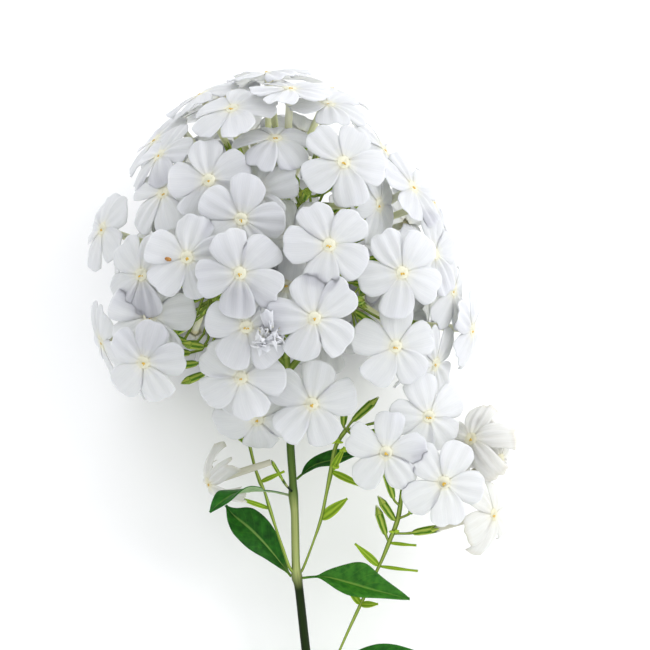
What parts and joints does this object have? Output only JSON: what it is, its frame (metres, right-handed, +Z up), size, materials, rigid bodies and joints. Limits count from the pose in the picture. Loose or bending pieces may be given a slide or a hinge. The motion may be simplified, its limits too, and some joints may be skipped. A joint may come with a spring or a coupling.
{
  "type": "cut phlox stem",
  "caption": "Cut stem of white garden phlox with a domed head of salver-shaped florets, side sprays and paired leaves, lying flat.",
  "frame": {"origin": "on the surface that the stem lies on, at the middle of its bounding box", "axes": "+Y along the stem from its cut end to the flower head, +Z up, towards the side of the head that faces the viewer"},
  "size_m": [0.145, 0.252, 0.1086],
  "materials": {
    "petal_fresh": "thin translucent white petals",
    "petal_faded": "wilting off-white petals",
    "green_stem": "smooth olive green stem",
    "green_calyx": "fresh green ribbed calyces and pedicels",
    "green_leaf": "deep green leaf with pale veins"
  },
  "bodies": {
    "root": {"florets_01": "petal_fresh", "florets_02": "petal_fresh", "florets_03": "petal_fresh", "florets_04": "petal_fresh", "florets_05": "petal_fresh", "florets_06": "petal_fresh", "florets_07": "petal_fresh", "florets_08": "petal_fresh", "florets_09": "petal_fresh", "florets_10": "petal_fresh", "florets_11": "petal_fresh", "florets_12": "petal_fresh", "florets_13": "petal_fresh", "florets_14": "petal_fresh", "florets_15": "petal_fresh", "florets_16": "petal_fresh", "florets_17": "petal_fresh", "florets_18": "petal_fresh", "florets_19": "petal_fresh", "florets_20": "petal_fresh", "florets_21": "petal_fresh", "florets_22": "petal_fresh", "florets_23": "petal_fresh", "florets_24": "petal_fresh", "florets_25": "petal_fresh", "florets_26": "petal_fresh", "florets_27": "petal_fresh", "florets_28": "petal_fresh", "florets_29": "petal_fresh", "florets_30": "petal_fresh", "florets_31": "petal_fresh", "florets_32": "petal_fresh", "head_stalks": "green_calyx", "leaf_lower_left": "green_leaf", "leaf_lower_right": "green_leaf", "leaf_middle_left": "green_leaf", "leaf_middle_right": "green_leaf", "leaf_upper_left": "green_leaf", "leaf_upper_right": "green_leaf", "side_floret_left": "petal_fresh", "side_floret_right": "petal_fresh", "side_spray_stem": "green_stem", "side_stem_left": "green_stem", "side_stem_right": "green_stem", "spray_florets_faded": "petal_faded", "spray_florets_fresh": "petal_fresh", "stem": "green_stem", "stem_floret_faded": "petal_faded"}
  },
  "joints": []
}
